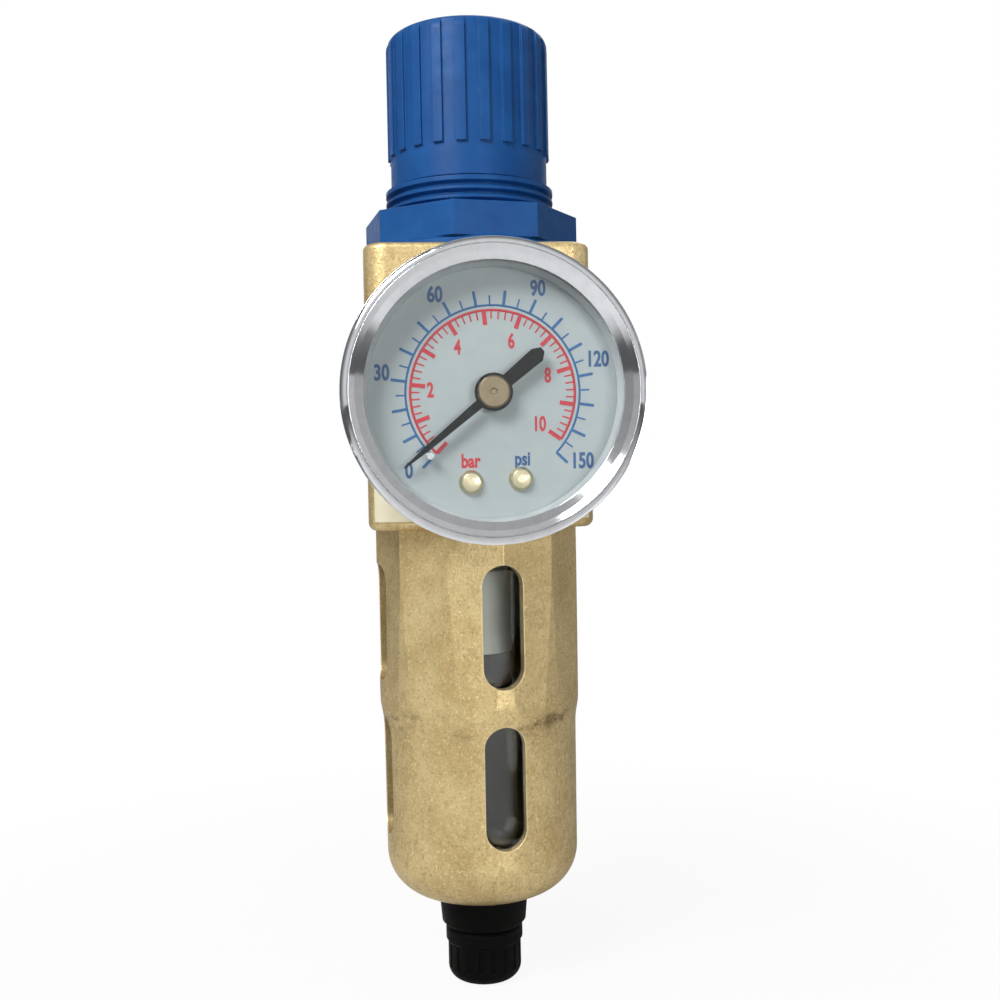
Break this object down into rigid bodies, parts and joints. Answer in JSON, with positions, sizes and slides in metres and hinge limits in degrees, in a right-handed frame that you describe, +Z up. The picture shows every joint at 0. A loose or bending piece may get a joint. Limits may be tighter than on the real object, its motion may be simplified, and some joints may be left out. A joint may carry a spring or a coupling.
{
  "type": "filter regulator",
  "caption": "Compressed-air filter regulator with ribbed adjusting knob, square cast body, round dial gauge and slotted guard over a clear bowl with a drain.",
  "frame": {"origin": "where the port axis, the gauge axis and the body's vertical axis cross", "axes": "+X from inlet to outlet along the ports, -Y out through the gauge, +Z up towards the knob"},
  "size_m": [0.0436, 0.0699, 0.1693],
  "materials": {
    "cast_gold": "champagne-gold lacquer over a fine cast grain",
    "blue_plastic": "moulded nylon, satin",
    "black_plastic": "moulded nylon, satin",
    "white_plastic": "smooth",
    "label_foil": "pale metallic foil, bare",
    "plated_steel": "bright plated",
    "spring_steel": "drawn wire",
    "aluminium": "turned",
    "brass": "turned",
    "aged_brass": "dull turned",
    "chrome": "polished",
    "clear_plastic": "clear polycarbonate",
    "dial_white": "semi-matt white paint",
    "pointer_black": "matt black paint",
    "sintered_white": "porous sintered polyethylene",
    "rubber": "nitrile rubber"
  },
  "bodies": {
    "housing": {"body": "cast_gold", "label_plate": "label_foil", "rear_plug": "plated_steel", "bonnet": "blue_plastic", "diaphragm": "rubber", "slip_ring": "white_plastic", "valve_guide": "black_plastic", "swirl_plate": "black_plastic", "filter_element": "sintered_white", "baffle": "black_plastic", "bowl": "clear_plastic", "bowl_seal": "rubber", "bowl_guard": "cast_gold", "drain_collar": "black_plastic", "gauge_socket": "brass", "socket_seal": "white_plastic", "gauge_case": "chrome", "gauge_bezel": "chrome", "gauge_window": "clear_plastic", "spacer_ring": "white_plastic", "gauge_dial": "dial_white", "dial_screws": "brass", "stop_pin": "plated_steel", "pressure_tube": "brass", "movement_frame": "brass", "regulating_spring": "spring_steel", "valve_spring": "spring_steel"},
    "spindle": {"adjusting_screw": "plated_steel"},
    "knob": {"adjusting_knob": "blue_plastic"},
    "spring_carrier": {"spring_nut": "brass"},
    "diaphragm_centre": {"diaphragm_plate": "aluminium", "relief_hub": "brass"},
    "valve": {"valve_stem": "brass", "valve_disc": "rubber"},
    "pointer_group": {"pointer": "pointer_black", "pointer_arbor": "plated_steel", "pointer_cap": "aged_brass"},
    "drain_hand": {"drain_knob": "black_plastic"},
    "drain_valve": {"drain_stem": "brass", "drain_seal": "rubber"}
  },
  "joints": [
    {"name": "knob_turn", "type": "hinge", "parent": "housing", "child": "spindle", "pos_m": [0, 0, 0.05], "axis": [0, 0, -1], "range_deg": [0, 1440]},
    {"name": "knob_lift", "type": "slide", "parent": "spindle", "child": "knob", "axis": [0, 0, 1], "range_m": [0, 0.003]},
    {"name": "seat_travel", "type": "slide", "parent": "housing", "child": "spring_carrier", "axis": [0, 0, -1], "range_m": [0, 0.005], "deforming": ["regulating_spring"]},
    {"name": "diaphragm_travel", "type": "slide", "parent": "housing", "child": "diaphragm_centre", "axis": [0, 0, -1], "range_m": [0, 0.0012], "stiffness_N_per_m": 300, "springref_m": -0.003, "deforming": ["diaphragm"]},
    {"name": "valve_travel", "type": "slide", "parent": "housing", "child": "valve", "axis": [0, 0, -1], "range_m": [0, 0.0012], "deforming": ["valve_spring"]},
    {"name": "pointer_turn", "type": "hinge", "parent": "housing", "child": "pointer_group", "pos_m": [0, -0.045, 0], "axis": [0, 1, 0], "range_deg": [0, 263], "stiffness_Nm_per_rad": 0.0005, "springref_deg": -11.46},
    {"name": "drain_turn", "type": "hinge", "parent": "housing", "child": "drain_hand", "pos_m": [0, 0, -0.095], "axis": [0, 0, 1], "range_deg": [0, 270]},
    {"name": "drain_lift", "type": "slide", "parent": "housing", "child": "drain_valve", "axis": [0, 0, 1], "range_m": [0, 0.0012]}
  ],
  "couplings": [
    {"joint": "seat_travel", "follows": "knob_turn", "m_per_rad": 0.00019894},
    {"joint": "valve_travel", "follows": "diaphragm_travel", "ratio": 1},
    {"joint": "drain_turn", "follows": "drain_lift", "rad_per_m": 3927}
  ]
}
